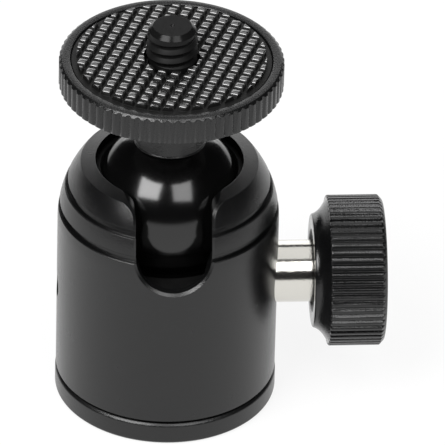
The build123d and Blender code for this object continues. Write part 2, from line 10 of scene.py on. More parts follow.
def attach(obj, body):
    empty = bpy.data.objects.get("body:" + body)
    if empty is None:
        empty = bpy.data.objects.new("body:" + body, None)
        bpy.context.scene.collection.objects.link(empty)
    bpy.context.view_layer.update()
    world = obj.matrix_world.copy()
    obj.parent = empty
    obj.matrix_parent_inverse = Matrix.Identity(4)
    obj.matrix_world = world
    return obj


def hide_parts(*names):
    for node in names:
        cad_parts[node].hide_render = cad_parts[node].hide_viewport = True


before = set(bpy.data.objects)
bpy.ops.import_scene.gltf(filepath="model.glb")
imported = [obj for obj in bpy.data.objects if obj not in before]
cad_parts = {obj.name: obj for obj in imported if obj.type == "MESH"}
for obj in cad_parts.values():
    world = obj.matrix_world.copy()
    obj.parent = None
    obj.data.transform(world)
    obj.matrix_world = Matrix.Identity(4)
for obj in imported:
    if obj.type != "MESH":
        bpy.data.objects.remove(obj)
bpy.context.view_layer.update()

bl_info = {
    "name": "Ball Head",
    "version": (1, 0, 0),
    "blender": (4, 5, 0),
    "location": "3D View > Sidebar > Ball Head",
    "description": "Dresses a tripod ball head: knurled knob and platform, threads, rubber pad and finishes",
    "category": "Object",
}

MM = 0.001
MERGE = 1e-7             # doubles nearer than this, in metres, are merged
NEAR = 1e-6              # the same, for a thread's turns and for what lies at one height
SHARP = math.radians(32)
TOOTH_STEPS = 10         # steps round each tooth or rib of a knurl
CREST = 0.14             # half the width of a rib's crest, as a share of a tooth

# ---- camera and lights ----
PICTURE = 445            # width and height of the picture, in pixels
SENSOR = 36.0            # width of the camera's sensor, in millimetres
FOCAL = 7891.0           # focal length, in pixels
AIM = (0, 0, 0.025)
AIM_AT = (168.207, 217.556)  # where the aim is before the roll, in pixels from the left and the top
LIGHTS_AIM = (0, 0, 0.027)
LIGHTS = (               # azimuth, elevation and turn in degrees, width and height in metres
    ("left softbox", (-135, 48, 15), (0.56, 0.6), "left_light"),
    ("right softbox", (-65.5, 48, -13), (0.48, 0.6), "right_light"),
    ("back scrim", (86, 15, 0), (0.95, 0.61), "back_light"),
    ("overhead scrim", (86, 74, 0), (0.95, 1.06), "top_light"),
)
WHITE = (1, 1, 1, 1)
DARK = (0.02, 0.02, 0.021, 1)
GREY = (0.25, 0.25, 0.25, 1)


# ---- sizes and colours ----

def size(name, description, millimetres):
    """A length, given in millimetres and kept in metres."""
    return FloatProperty(
        name=name, description=description, default=millimetres * MM, min=0.0,
        unit="LENGTH", subtype="DISTANCE", precision=5,
    )


def share(name, description, value):
    """A number from 0 to 1."""
    return FloatProperty(name=name, description=description, default=value, min=0.0, max=1.0)


def brightness(name, description, value):
    """The radiance of a light, where 1 is shown as white."""
    return FloatProperty(name=name, description=description, default=value, min=0.0)


def angle(name, description, degrees):
    """An angle, given in degrees and kept in radians."""
    return FloatProperty(
        name=name, description=description, default=math.radians(degrees), unit="ROTATION",
        subtype="ANGLE",
    )


def colour(name, description, value):
    return FloatVectorProperty(
        name=name, description=description, default=value, size=3, min=0.0, max=1.0, subtype="COLOR",
    )


def count(name, description, value):
    return IntProperty(name=name, description=description, default=value, min=3)


class FinishSettings(PropertyGroup):
    black: colour("Anodised black", "Colour of the blasted aluminium", (0.0034, 0.0035, 0.0036))
    black_gloss: share("Anodised roughness", "Roughness of the blasted aluminium", 0.13)
    grain: size("Blast grain", "Width of one dimple of the blasted finish", 0.15)
    grain_depth: size("Blast depth", "Depth of the blasted finish", 0.024)
    ball_black: colour("Ball black", "Colour of the polished ball", (0.0015, 0.0015, 0.0015))
    ball_gloss: share("Ball roughness", "Roughness of the polished ball", 0.15)
    rubber: colour("Rubber", "Colour of the grip pad", (0.006, 0.006, 0.0058))
    nickel: colour("Nickel", "Colour of the plated sleeve", (0.68, 0.665, 0.62))
    oxide: colour("Black oxide", "Colour of the blackened steel", (0.005, 0.005, 0.005))
    steel: colour("Steel", "Colour of bare turned steel", (0.56, 0.55, 0.53))
    brass: colour("Brass", "Colour of the guide ring", (0.78, 0.60, 0.30))
    acetal: colour("Acetal", "Colour of the ball's seats", (0.002, 0.002, 0.002))
    edge: size("Edge rounding", "Rounding that the turned edges show", 0.09)


class FootSettings(PropertyGroup):
    radius: size("Radius", "Outside radius of the foot ring", 13.87)
    height: size("Height", "Height of the foot ring", 3.0)
    chamfer: size("Chamfer", "Chamfer of the foot ring's two edges", 0.35)
    spigot_radius: size("Spigot radius", "Radius of the part inside the housing", 12.48)
    spigot_top: size("Spigot top", "Height of the spigot's top face", 7.5)
    bore_radius: size("Bore radius", "Radius of the bore for the threaded bush", 4.82)
    bush_radius: size("Bush radius", "Outside radius of the threaded bush", 4.8)
    bush_height: size("Bush height", "Height of the threaded bush", 7.0)
    thread_inner: size("Thread bore", "Radius of the bush's tapped bore", 2.6)


class BallSettings(PropertyGroup):
    radius: size("Radius", "Radius of the ball", 10.0)
    centre: size("Centre", "Height of the ball's centre", 27.3)
    flat_radius: size("Flat radius", "Radius of the flat that the hub stands on", 3.9)
    bore_radius: size("Bore radius", "Radius of the bore for the stem", 2.52)
    bore_depth: size("Bore depth", "Depth of the stem's bore below the flat", 7.5)


class SleeveSettings(PropertyGroup):
    axis_height: size("Axis height", "Height of the lock axis", 16.5)
    radius: size("Radius", "Outside radius of the sleeve", 3.9)
    start: size("Start", "Where the sleeve's inner end is, from the upright axis", 10.447)
    end: size("End", "Where the sleeve's outer end is", 19.5)
    chamber_radius: size("Chamber radius", "Radius of its inner bore", 3.05)
    thread_radius: size("Thread radius", "Radius of its threaded bore", 2.55)
    shoulder: size("Shoulder", "Where the inner bore ends", 14.24)


class KnobSettings(PropertyGroup):
    start: size("Start", "Where the knob's inner face is, from the upright axis", 18.1)
    end: size("End", "Where the knob's outer face is", 27.0)
    grip_start: size("Grip start", "Where the knurled grip begins", 20.0)
    radius: size("Radius", "Outside radius of the knurled grip", 9.45)
    face_radius: size("Face radius", "Radius of the inner face", 7.1)
    waist_radius: size("Waist radius", "Radius where the waist meets the grip", 8.85)
    recess_radius: size("Recess radius", "Radius of the recess round the sleeve", 5.2)
    recess_floor: size("Recess floor", "Where the recess ends", 20.6)
    screw_radius: size("Screw radius", "Radius of the bore for the clamp screw", 2.52)
    screw_end: size("Screw end", "Where the clamp screw's bore ends", 24.0)
    bolt_radius: size("Bolt radius", "Radius of the bore for the knob's own screw", 1.52)
    head_radius: size("Head radius", "Radius of the counterbore in the outer face", 2.8)
    head_floor: size("Head floor", "Where the counterbore ends", 25.4)
    chamfer: size("Chamfer", "Chamfer of the outer edge", 0.6)
    ribs: count("Ribs", "Number of ribs around the grip", 60)
    rib_depth: size("Rib depth", "Depth of the grooves between ribs", 0.35)


class PlatformSettings(PropertyGroup):
    hub_foot: size("Hub foot", "Height of the hub's foot", 36.538)
    hub_radius: size("Hub radius", "Radius of the hub", 4.35)
    hub_flare: size("Hub flare", "Radius of the hub's rounding into the disc", 3.4)
    hub_bead: size("Hub bead", "The bead at the hub's foot stands out by this much in radius", 0.12)
    bottom: size("Disc bottom", "Height of the disc's underside", 44.938)
    top: size("Disc top", "Height of the disc's rim", 48.408)
    radius: size("Radius", "Outside radius of the disc", 13.88)
    bevel_width: size("Bevel width", "Reach of the upper edge's bevel in radius", 0.4)
    bevel_height: size("Bevel height", "Reach of the upper edge's bevel in height", 0.35)
    foot_edge: size("Lower edge", "Chamfer of the disc's lower edge", 0.12)
    recess_radius: size("Recess radius", "Radius of the recess for the pad", 12.45)
    recess_floor: size("Recess floor", "Height of the recess floor", 47.608)
    stem_radius: size("Stem bore", "Radius of the bore for the stem", 2.55)
    stud_bore: size("Stud bore", "Radius of the bore for the camera stud", 2.97)
    stud_floor: size("Stud floor", "Height of that bore's floor", 44.458)
    teeth: count("Teeth", "Number of teeth of the knurl", 70)
    tooth_depth: size("Tooth depth", "Depth of the knurl", 0.22)
    set_screw_radius: size("Set screw bore", "Radius of the set screw's hole in the hub", 1.27)
    set_screw_up: size("Set screw height", "Height of that hole above the hub's foot", 4.0)


class PadSettings(PropertyGroup):
    radius: size("Radius", "Outside radius of the pad", 12.4)
    hole_radius: size("Hole radius", "Radius of the hole for the stud", 3.45)
    bottom: size("Bottom", "Height of the pad's underside", 47.608)
    base: size("Base", "Height of the pad's base face", 48.258)
    bump_height: size("Bump height", "Height of the bumps above the base", 0.7)
    field_radius: size("Field radius", "The bumps lie inside this radius", 11.7)
    pitch: size("Pitch", "Distance between rows of bumps", 1.65)
    foot_width: size("Bump foot", "Width of a bump at its foot", 1.35)
    head_width: size("Bump head", "Width of a bump at its top", 1.0)
    rounding: size("Bump rounding", "Rounding of a bump's edges", 0.07)
    crown: size("Bump crown", "A bump's top rises this much to its middle", 0.12)
    turn: angle("Turn", "Direction of the rows", -22.0)


class StudSettings(PropertyGroup):
    radius: size("Radius", "Outside radius of the thread", 3.175)
    pitch: size("Pitch", "Pitch of the thread", 1.27)
    depth: size("Thread depth", "Depth of the thread", 0.4)
    foot: size("Foot", "Height of the stud's lower end", 44.508)
    neck_top: size("Neck top", "Height where the thread begins", 48.7)
    neck_radius: size("Neck radius", "Radius of the plain neck", 2.95)
    top: size("Top", "Height of the stud's tip", 53.218)
    taper: size("Taper", "Length of the tapered tip", 1.6)
    tip_radius: size("Tip radius", "Radius of the flat at the tip", 2.39)
    bevel: size("Bevel", "Bevel around the flat at the tip", 0.55)
    smooth_tip: size("Smooth tip", "The thread runs out this far below the tip", 1.1)
    dimple: size("Dimple", "Radius of the centre mark", 0.3)


class StageSettings(PropertyGroup):
    distance: size("Camera distance", "From the aim to the camera", 982.7)
    elevation: angle("Camera elevation", "Height of the camera above the horizon", 34.076)
    azimuth: angle("Camera azimuth", "Turn of the camera round the upright axis", -3.8)
    roll: angle("Camera roll", "Turn of the picture", 1.264)
    left_light: brightness("Left light", "Brightness of the left softbox", 10.0)
    right_light: brightness("Right light", "Brightness of the right softbox", 5.0)
    back_light: brightness("Back light", "Brightness of the scrim behind", 1.6)
    top_light: brightness("Top light", "Brightness of the scrim overhead", 1.0)
    floor: colour("Floor", "Colour of the floor", (0.86, 0.86, 0.86))


class BallHeadSettings(PropertyGroup):
    finish: PointerProperty(type=FinishSettings)
    foot: PointerProperty(type=FootSettings)
    ball: PointerProperty(type=BallSettings)
    sleeve: PointerProperty(type=SleeveSettings)
    knob: PointerProperty(type=KnobSettings)
    platform: PointerProperty(type=PlatformSettings)
    pad: PointerProperty(type=PadSettings)
    stud: PointerProperty(type=StudSettings)
    stage: PointerProperty(type=StageSettings)


# ---- shader maths ----

class Value:
    """A node's output; arithmetic on it adds Math nodes."""

    def __init__(self, finish, socket):
        self.finish = finish
        self.socket = socket

    def maths(self, operation, *inputs):
        return self.finish.node("ShaderNodeMath", {"operation": operation}, dict(enumerate(inputs)))

    def __add__(self, other):
        return self.maths("ADD", self, other)

    __radd__ = __add__

    def __sub__(self, other):
        return self.maths("SUBTRACT", self, other)

    def __rsub__(self, other):
        return self.maths("SUBTRACT", other, self)

    def __mul__(self, other):
        return self.maths("MULTIPLY", self, other)

    __rmul__ = __mul__

    def ramp(self, low, high):
        """0 below low, 1 above high, and smooth between them."""
        return self.finish.node(
            "ShaderNodeMapRange", {"interpolation_type": "SMOOTHSTEP"}, {0: self, 1: low, 2: high},
        )


class Finish:
    """A node tree that is being filled."""

    def __init__(self, tree):
        self.tree = tree
        tree.nodes.clear()

    def node(self, kind, settings=None, inputs=None, output=0):
        """Add a node and return one of its outputs, by number or name.

        Its settings are set first, then the values or links of its sockets.
        """
        node = self.tree.nodes.new(kind)
        for name, value in (settings or {}).items():
            setattr(node, name, value)
        for key, value in (inputs or {}).items():
            if isinstance(value, Value):
                self.tree.links.new(value.socket, node.inputs[key])
            else:
                node.inputs[key].default_value = value
        return Value(self, node.outputs[output]) if node.outputs else None

    def place(self, scale=(1.0, 1.0, 1.0)):
        """Object coordinates in millimetres, stretched by scale."""
        coordinates = self.node("ShaderNodeTexCoord", output="Object")
        factors = [part / MM for part in scale]
        return self.node("ShaderNodeMapping", None, {"Vector": coordinates, "Scale": factors})

    def height(self, place):
        """How high a place is, in its own units."""
        return self.node("ShaderNodeSeparateXYZ", None, {"Vector": place}, "Z")

    def noise(self, place, width, detail):
        """A noise from 0 to 1 whose spots are about width millimetres wide."""
        inputs = {"Vector": place, "Scale": 1 / width, "Detail": detail}
        return self.node("ShaderNodeTexNoise", None, inputs)

    def blend(self, mask, first, second):
        """A colour between two. The node keeps the sockets for colours at these numbers."""
        return self.node("ShaderNodeMix", {"data_type": "RGBA"}, {0: mask, 6: first, 7: second}, 2)

    def rounded(self, radius):
        """The surface's normal with its edges rounded."""
        return self.node("ShaderNodeBevel", {"samples": 6}, {"Radius": radius})

    def bump(self, height, depth, strength, normal):
        """A normal from heights of 0 to 1 that stand for a depth in millimetres."""
        inputs = {"Height": height, "Distance": depth * MM, "Strength": strength, "Normal": normal}
        return self.node("ShaderNodeBump", None, inputs)

    def surface(self, **inputs):
        """Close the tree with one Principled BSDF; underscores in names stand for spaces."""
        names = {name.replace("_", " "): value for name, value in inputs.items()}
        shader = self.node("ShaderNodeBsdfPrincipled", None, names)
        self.node("ShaderNodeOutputMaterial", None, {"Surface": shader})


def new_finish(name):
    material = bpy.data.materials.new(name)
    material.use_nodes = True
    return material, Finish(material.node_tree)


def rgba(tint, factor=1.0):
    """A colour for a socket, made darker or lighter by a factor."""
    return (*[part * factor for part in tint], 1.0)


def blasted_black(name, settings, roughness=None, grain=1.0):
    """Bead-blasted and anodised aluminium; grain is a share of the common width."""
    material, f = new_finish(name)
    place = f.place()
    fine = f.noise(place, width=settings.grain / MM * grain, detail=1.0)
    cloud = f.noise(place, width=2.5, detail=3.0)
    base = f.blend(cloud, rgba(settings.black, 0.85), rgba(settings.black, 1.15))
    level = settings.black_gloss if roughness is None else roughness
    rough = level - 0.04 + 0.05 * cloud + 0.03 * fine
    soft = f.rounded(settings.edge)
    normal = f.bump(fine, depth=settings.grain_depth / MM, strength=1.0, normal=soft)
    f.surface(Base_Color=base, Roughness=rough, IOR=1.5, Normal=normal)
    return material


def polished_black(name, settings):
    """Polished and anodised aluminium of the ball."""
    material, f = new_finish(name)
    place = f.place()
    haze = f.noise(place, width=1.2, detail=3.0)
    fine = f.noise(place, width=0.12, detail=1.0)
    rough = settings.ball_gloss - 0.02 + 0.04 * haze
    normal = f.bump(fine, depth=0.01, strength=0.03, normal=f.rounded(settings.edge))
    f.surface(Base_Color=rgba(settings.ball_black), Roughness=rough, IOR=1.55, Normal=normal)
    return material


def moulded_rubber(name, settings, dull_below, bright_above):
    """Dull rubber whose bumps shine where they are worn, from one height to another."""
    material, f = new_finish(name)
    place = f.place()
    worn = f.height(place).ramp(dull_below / MM, bright_above / MM)
    mottle = f.noise(place, width=0.9, detail=3.0)
    fine = f.noise(place, width=0.13, detail=2.0)
    base = f.blend(mottle, rgba(settings.rubber, 0.75), rgba(settings.rubber, 1.3))
    rough = 0.5 + 0.1 * mottle
    normal = f.bump(fine, depth=0.012, strength=0.6, normal=f.rounded(settings.edge))
    f.surface(
        Base_Color=base, Roughness=rough, IOR=1.3, Normal=normal, Coat_Weight=worn,
        Coat_Roughness=0.22, Coat_IOR=2.3,
    )
    return material


def plated_nickel(name, settings):
    """Bright nickel on a turned sleeve."""
    material, f = new_finish(name)
    turned = f.noise(f.place((6.0, 1.0, 1.0)), width=1.4, detail=2.0)
    peel = f.noise(f.place(), width=0.3, detail=2.0)
    base = f.blend(peel, rgba(settings.nickel, 0.96), rgba(settings.nickel, 1.0))
    rough = 0.12 + 0.05 * turned
    soft = f.rounded(settings.edge)
    normal = f.bump(peel + 0.5 * turned, depth=0.02, strength=0.5, normal=soft)
    f.surface(Base_Color=base, Metallic=1.0, Roughness=rough, Normal=normal)
    return material


def black_oxide(name, settings, roughness, index=1.5, bright_above=None):
    """Blackened steel; where a height is given, what is below it is duller."""
    material, f = new_finish(name)
    place = f.place()
    stain = f.noise(place, width=0.8, detail=3.0)
    fine = f.noise(place, width=0.15, detail=2.0)
    base = f.blend(stain, rgba(settings.oxide, 0.7), rgba(settings.oxide, 1.4))
    rough = roughness - 0.03 + 0.07 * stain
    if bright_above is not None:
        dull, fade = 0.3, 0.1 * MM
        bright = f.height(place).ramp((bright_above - fade) / MM, bright_above / MM)
        rough = rough + dull - dull * bright
    normal = f.bump(fine, depth=0.01, strength=0.15, normal=f.rounded(settings.edge / 2))
    f.surface(Base_Color=base, Roughness=rough, IOR=index, Normal=normal)
    return material


def turned_metal(name, tint, roughness, edge, lay):
    """Bare metal with the fine marks of turning; lay says how they are stretched."""
    material, f = new_finish(name)
    marks = f.noise(f.place(lay), width=0.5, detail=3.0)
    base = f.blend(marks, rgba(tint, 0.9), rgba(tint, 1.05))
    rough = roughness + 0.12 * marks
    normal = f.bump(marks, depth=0.02, strength=0.2, normal=f.rounded(edge))
    f.surface(Base_Color=base, Metallic=1.0, Roughness=rough, Normal=normal)
    return material


def machined_acetal(name, settings):
    material, f = new_finish(name)
    marks = f.noise(f.place((1.0, 1.0, 5.0)), width=0.6, detail=2.0)
    base = f.blend(marks, rgba(settings.acetal, 0.8), rgba(settings.acetal, 1.3))
    rough = 0.6 + 0.1 * marks
    normal = f.bump(marks, depth=0.01, strength=0.2, normal=f.rounded(settings.edge))
    f.surface(Base_Color=base, Roughness=rough, IOR=1.3, Normal=normal)
    return material


# ---- shapes ----

def lathe(outline, steps, closed=False):
    """Spin an outline round Z. A point is (radius, height) or (radius, height, rounding, segments)."""
    bm = bmesh.new()
    corners = []
    for point in outline:
        vert = bm.verts.new((point[0], 0.0, point[1]))
        corners.append((vert, *point[2:]))
    verts = list(bm.verts)
    for first, second in zip(verts, verts[1:]):
        bm.edges.new((first, second))
    if closed:
        bm.edges.new((verts[-1], verts[0]))
    for vert, *rounding in corners:
        if rounding:
            bmesh.ops.bevel(
                bm, geom=[vert], affect="VERTICES", offset=rounding[0], segments=rounding[1],
                profile=0.5, material=-1, clamp_overlap=False,
            )
    spin_round(bm, steps)
    return bm


def spin_round(bm, steps):
    bmesh.ops.spin(
        bm, geom=bm.verts[:] + bm.edges[:], cent=(0, 0, 0), axis=(0, 0, 1), angle=math.tau,
        steps=steps, use_merge=True,
    )
    close_up(bm)


def close_up(bm):
    """Merge doubles and turn the faces outwards."""
    bmesh.ops.remove_doubles(bm, verts=bm.verts, dist=MERGE)
    bmesh.ops.recalc_face_normals(bm, faces=bm.faces)


def rib_fall(around):
    """How far a knurl's rib has fallen, as a share of its depth, at a share of a tooth off its middle."""
    if around <= CREST:
        return 0.0
    return 0.5 - 0.5 * math.cos(math.pi * (around - CREST) / (0.5 - CREST))


def knurl(bm, radius, depth, teeth, low, high):
    """Scale what stands outside a ring of ribs down to them, between two heights."""
    steps = teeth * TOOTH_STEPS
    groups = {}
    for vert in bm.verts:
        reach = math.hypot(vert.co.x, vert.co.y)
        if reach < radius - depth or not low <= vert.co.z <= high:
            continue
        phase = round(math.atan2(vert.co.y, vert.co.x) / math.tau * steps) % TOOTH_STEPS
        wall = radius - depth * rib_fall(min(phase, TOOTH_STEPS - phase) / TOOTH_STEPS)
        if reach > wall:
            groups.setdefault(wall / reach, []).append(vert)
    for factor, verts in groups.items():
        scale_round(bm, verts, factor)


def helix(radius, depth, pitch, low, high, steps=64):
    """A screw thread's surface round Z, cut off level at two heights."""
    bm = bmesh.new()
    root, brow = radius - depth, radius - 0.08 * depth
    start = low - 1.5 * pitch
    turns = math.ceil((high - start) / pitch) + 1
    profile = (
        (root, 0.0), (root, 0.1), (brow, 0.44), (radius, 0.5), (brow, 0.56), (root, 0.9), (root, 1.0),
    )
    verts = [bm.verts.new((r, 0.0, start + part * pitch)) for r, part in profile]
    for first, second in zip(verts, verts[1:]):
        bm.edges.new((first, second))
    bmesh.ops.spin(
        bm, geom=bm.verts[:] + bm.edges[:], cent=(0, 0, 0), axis=(0, 0, 1), angle=math.tau * turns,
        steps=steps * turns, dvec=(0, 0, pitch / steps),
    )
    bmesh.ops.remove_doubles(bm, verts=bm.verts, dist=NEAR)
    slice_at(bm, (0, 0, high), (0, 0, 1), True)
    slice_at(bm, (0, 0, low), (0, 0, -1), True)
    return bm


def slice_at(bm, place, outward, clear):
    """Add the edges where a plane meets the shape, and clear what is outside it if asked."""
    bmesh.ops.bisect_plane(
        bm, geom=bm.verts[:] + bm.edges[:] + bm.faces[:], plane_co=place, plane_no=outward,
        clear_outer=clear,
    )


def rim(bm, height):
    """The open edges that lie at a height."""
    return [
        edge for edge in bm.edges
        if edge.is_boundary and all(abs(vert.co.z - height) < NEAR for vert in edge.verts)
    ]


def grown(bm, edges):
    """Extrude open edges and return the new vertices, which still lie on the old ones."""
    made = bmesh.ops.extrude_edge_only(bm, edges=edges)["geom"]
    return [part for part in made if isinstance(part, bmesh.types.BMVert)]


def scale_round(bm, verts, factor):
    """Scale vertices towards or away from the upright axis."""
    bmesh.ops.scale(bm, vec=(factor, factor, 1.0), verts=verts)


def make_mesh(bm, name):
    """Turn a bmesh into a mesh, and free it."""
    mesh = bpy.data.meshes.new(name)
    bm.to_mesh(mesh)
    bm.free()
    return mesh


def add(bm, mesh):
    """Add a mesh to a bmesh, and remove it."""
    bm.from_mesh(mesh)
    bpy.data.meshes.remove(mesh)


def along_x(height):
    """From a piece made along Z to one along X at a height."""
    return Matrix.Translation((0, 0, height)) @ Matrix.Rotation(math.pi / 2, 4, "Y")


def piece(bm, name, body, node, material, place=None):
    """Make a finished object that stands for a CAD node."""
    if place is not None:
        bmesh.ops.transform(bm, matrix=place, verts=bm.verts)
    mesh = make_mesh(bm, name)
    mesh.shade_smooth()
    mesh.set_sharp_from_angle(angle=SHARP)
    mesh.materials.append(material)
    obj = bpy.data.objects.new(name, mesh)
    bpy.context.collection.objects.link(obj)
    weighted = obj.modifiers.new("Weighted normals", "WEIGHTED_NORMAL")
    weighted.keep_sharp = True
    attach(obj, body)
    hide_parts(node)
    return obj


def cut(obj, cutter):
    """Take a closed bmesh out of an object for good."""
    mesh = make_mesh(cutter, "cutter")
    tool = bpy.data.objects.new("cutter", mesh)
    bpy.context.collection.objects.link(tool)
    boolean = obj.modifiers.new("Cut", "BOOLEAN")
    boolean.operation = "DIFFERENCE"
    boolean.solver = "EXACT"
    boolean.object = tool
    while obj.modifiers[0] != boolean:
        obj.modifiers.move(len(obj.modifiers) - 1, 0)
    bpy.context.view_layer.objects.active = obj
    bpy.ops.object.modifier_apply(modifier=boolean.name)
    bpy.data.objects.remove(tool)
    bpy.data.meshes.remove(mesh)


def finish_node(node, material):
    """Give a CAD node that stays its finish."""
    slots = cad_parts[node].material_slots
    if not slots:
        raise RuntimeError(f"{node} has no material slot")
    for slot in slots:
        slot.material = material


# ---- operators ----

class BALLHEAD_OT_stage(Operator):
    """Floor, backdrop, softboxes and camera"""

    bl_idname = "ballhead.stage"
    bl_label = "Stage"

    def execute(self, context):
        settings = context.scene.ball_head.stage
        self.world(context)
        self.floor(context, settings)
        for name, place, extent, setting in LIGHTS:
            self.light(context, name, place, extent, getattr(settings, setting))
        self.camera(context, settings)
        context.scene.view_settings.view_transform = "Standard"
        return {"FINISHED"}

    def world(self, context):
        """White to the camera, a dark room over a white floor in mirrors, and soft grey otherwise."""
        world = bpy.data.worlds.new("studio")
        context.scene.world = world
        world.use_nodes = True
        world.cycles.sampling_method = "NONE"
        f = Finish(world.node_tree)
        height = f.height(f.node("ShaderNodeTexCoord", output="Generated"))
        room = f.blend(height.ramp(-0.02, 0.03), WHITE, DARK)
        mirrored = f.node("ShaderNodeLightPath", output="Is Glossy Ray")
        seen = f.node("ShaderNodeLightPath", output="Is Camera Ray")
        light = f.blend(seen, f.blend(mirrored, GREY, room), WHITE)
        background = f.node("ShaderNodeBackground", None, {"Color": light, "Strength": 1.0})
        f.node("ShaderNodeOutputWorld", None, {"Surface": background})

    def floor(self, context, settings):
        """A wide pale floor that is seen and mirrored as nearly white, and keeps the shadow."""
        half, drop, glow = 6.0, 0.02 * MM, 0.86
        bm = bmesh.new()
        bmesh.ops.create_grid(bm, x_segments=1, y_segments=1, size=half)
        bmesh.ops.translate(bm, vec=(0, 0, -drop), verts=bm.verts)
        mesh = make_mesh(bm, "floor")
        material, f = new_finish("pale floor")
        seen, mirrored, through = [
            f.node("ShaderNodeLightPath", output=f"Is {ray} Ray")
            for ray in ("Camera", "Glossy", "Transmission")
        ]
        cloth = f.node("ShaderNodeBsdfDiffuse", None, {"Color": rgba(settings.floor)})
        white = f.node("ShaderNodeEmission", None, {"Color": WHITE, "Strength": 1.0})
        mask = (seen + mirrored + through) * glow
        both = f.node("ShaderNodeMixShader", None, {0: mask, 1: cloth, 2: white})
        f.node("ShaderNodeOutputMaterial", None, {"Surface": both})
        material.cycles.emission_sampling = "NONE"
        mesh.materials.append(material)
        obj = bpy.data.objects.new("floor", mesh)
        context.collection.objects.link(obj)

    def light(self, context, name, place, extent, radiance):
        """A softbox a metre from the ball; place is its azimuth from +X, its elevation and its turn."""
        width, height = extent
        light = bpy.data.lights.new(name, "AREA")
        light.shape = "RECTANGLE"
        light.size = width
        light.size_y = height
        light.energy = radiance * width * height * math.pi
        obj = bpy.data.objects.new(name, light)
        context.collection.objects.link(obj)
        azimuth, elevation, turn = [math.radians(degrees) for degrees in place]
        level = math.cos(elevation)
        away = Vector((math.cos(azimuth) * level, math.sin(azimuth) * level, math.sin(elevation)))
        facing = (-away).to_track_quat("-Z", "Y").to_matrix() @ Matrix.Rotation(turn, 3, "Z")
        obj.location = Vector(LIGHTS_AIM) + away
        obj.rotation_euler = facing.to_euler()
        obj.visible_camera = False

    def camera(self, context, settings):
        data = bpy.data.cameras.new("camera")
        data.sensor_width = SENSOR
        data.lens = SENSOR * FOCAL / PICTURE
        data.clip_start = 0.05
        data.clip_end = 50.0
        obj = bpy.data.objects.new("camera", data)
        context.collection.objects.link(obj)
        level, turn = settings.elevation, settings.azimuth
        reach = math.cos(level)
        back = Vector((math.sin(turn) * reach, -math.cos(turn) * reach, math.sin(level)))
        place = Vector(AIM) + settings.distance * back
        pan, nod = [math.atan2(at - PICTURE / 2, FOCAL) for at in AIM_AT]
        obj.matrix_world = (
            Matrix.Translation(place)
            @ Matrix.Rotation(turn, 4, "Z")
            @ Matrix.Rotation(math.pi / 2 - level, 4, "X")
            @ Matrix.Rotation(pan, 4, "Y")
            @ Matrix.Rotation(nod, 4, "X")
            @ Matrix.Rotation(settings.roll, 4, "Z")
        )
        context.scene.camera = obj


class BALLHEAD_OT_foot(Operator):
    """Foot ring and its threaded bush"""

    bl_idname = "ballhead.foot"
    bl_label = "Foot"

    def execute(self, context):
        head = context.scene.ball_head
        s = head.foot
        edge, lip = 0.12 * MM, 1.0 * MM
        ring = lathe(
            (
                (s.bore_radius, 0.0), (s.radius - s.chamfer, 0.0, edge, 2),
                (s.radius, s.chamfer, edge, 2), (s.radius, s.height - s.chamfer, edge, 2),
                (s.radius - s.chamfer, s.height, edge, 2), (s.spigot_radius, s.height),
                (s.spigot_radius, s.spigot_top), (s.bush_radius, s.spigot_top),
                (s.bush_radius - lip, s.spigot_top), (s.bush_radius - lip, s.bush_height),
                (s.bore_radius, s.bush_height),
            ),
            steps=192, closed=True,
        )
        black = blasted_black("foot black", head.finish, roughness=0.3)
        piece(ring, "foot_ring", "housing", "base_cap", black)
        self.bush(head)
        return {"FINISHED"}

    def bush(self, head):
        """The threaded bush, as a thread inside a plain wall."""
        s, stud = head.foot, head.stud
        fit = 0.02 * MM
        bm = helix(stud.radius + fit, stud.radius - s.thread_inner, stud.pitch, 0.0, s.bush_height)
        wall = lathe(((s.bush_radius, 0.0), (s.bush_radius, s.bush_height)), steps=64)
        add(bm, make_mesh(wall, "wall"))
        for height in (0.0, s.bush_height):
            bmesh.ops.bridge_loops(bm, edges=rim(bm, height))
        bmesh.ops.recalc_face_normals(bm, faces=bm.faces)
        steel = turned_metal("turned steel", head.finish.steel, 0.25, head.finish.edge, (1.0, 1.0, 4.0))
        piece(bm, "threaded_bush", "housing", "tripod_bush", steel)


class BALLHEAD_OT_ball(Operator):
    """Polished ball"""

    bl_idname = "ballhead.ball"
    bl_label = "Ball"

    def execute(self, context):
        head = context.scene.ball_head
        s = head.ball
        flat = math.sqrt(s.radius**2 - s.flat_radius**2)
        bm = bmesh.new()
        bmesh.ops.create_uvsphere(bm, u_segments=192, v_segments=96, radius=s.radius)
        slice_at(bm, (0, 0, flat), (0, 0, 1), True)
        scale_round(bm, grown(bm, rim(bm, flat)), s.bore_radius / s.flat_radius)
        bmesh.ops.translate(bm, vec=(0, 0, -s.bore_depth), verts=grown(bm, rim(bm, flat)))
        bmesh.ops.holes_fill(bm, edges=rim(bm, flat - s.bore_depth))
        close_up(bm)
        bmesh.ops.translate(bm, vec=(0, 0, s.centre), verts=bm.verts)
        piece(bm, "polished_ball", "ball", "ball", polished_black("ball black", head.finish))
        return {"FINISHED"}


class BALLHEAD_OT_sleeve(Operator):
    """Nickel sleeve of the lock"""

    bl_idname = "ballhead.sleeve"
    bl_label = "Sleeve"

    def execute(self, context):
        head = context.scene.ball_head
        s = head.sleeve
        edge, lip = 0.25 * MM, 0.15 * MM
        bm = lathe(
            (
                (s.chamber_radius, s.start), (s.radius, s.start), (s.radius, s.end, edge, 4),
                (s.thread_radius, s.end, lip, 2), (s.thread_radius, s.shoulder),
                (s.chamber_radius, s.shoulder),
            ),
            steps=160, closed=True,
        )
        nickel = plated_nickel("nickel", head.finish)
        piece(bm, "sleeve", "housing", "lock_bush", nickel, along_x(s.axis_height))
        return {"FINISHED"}


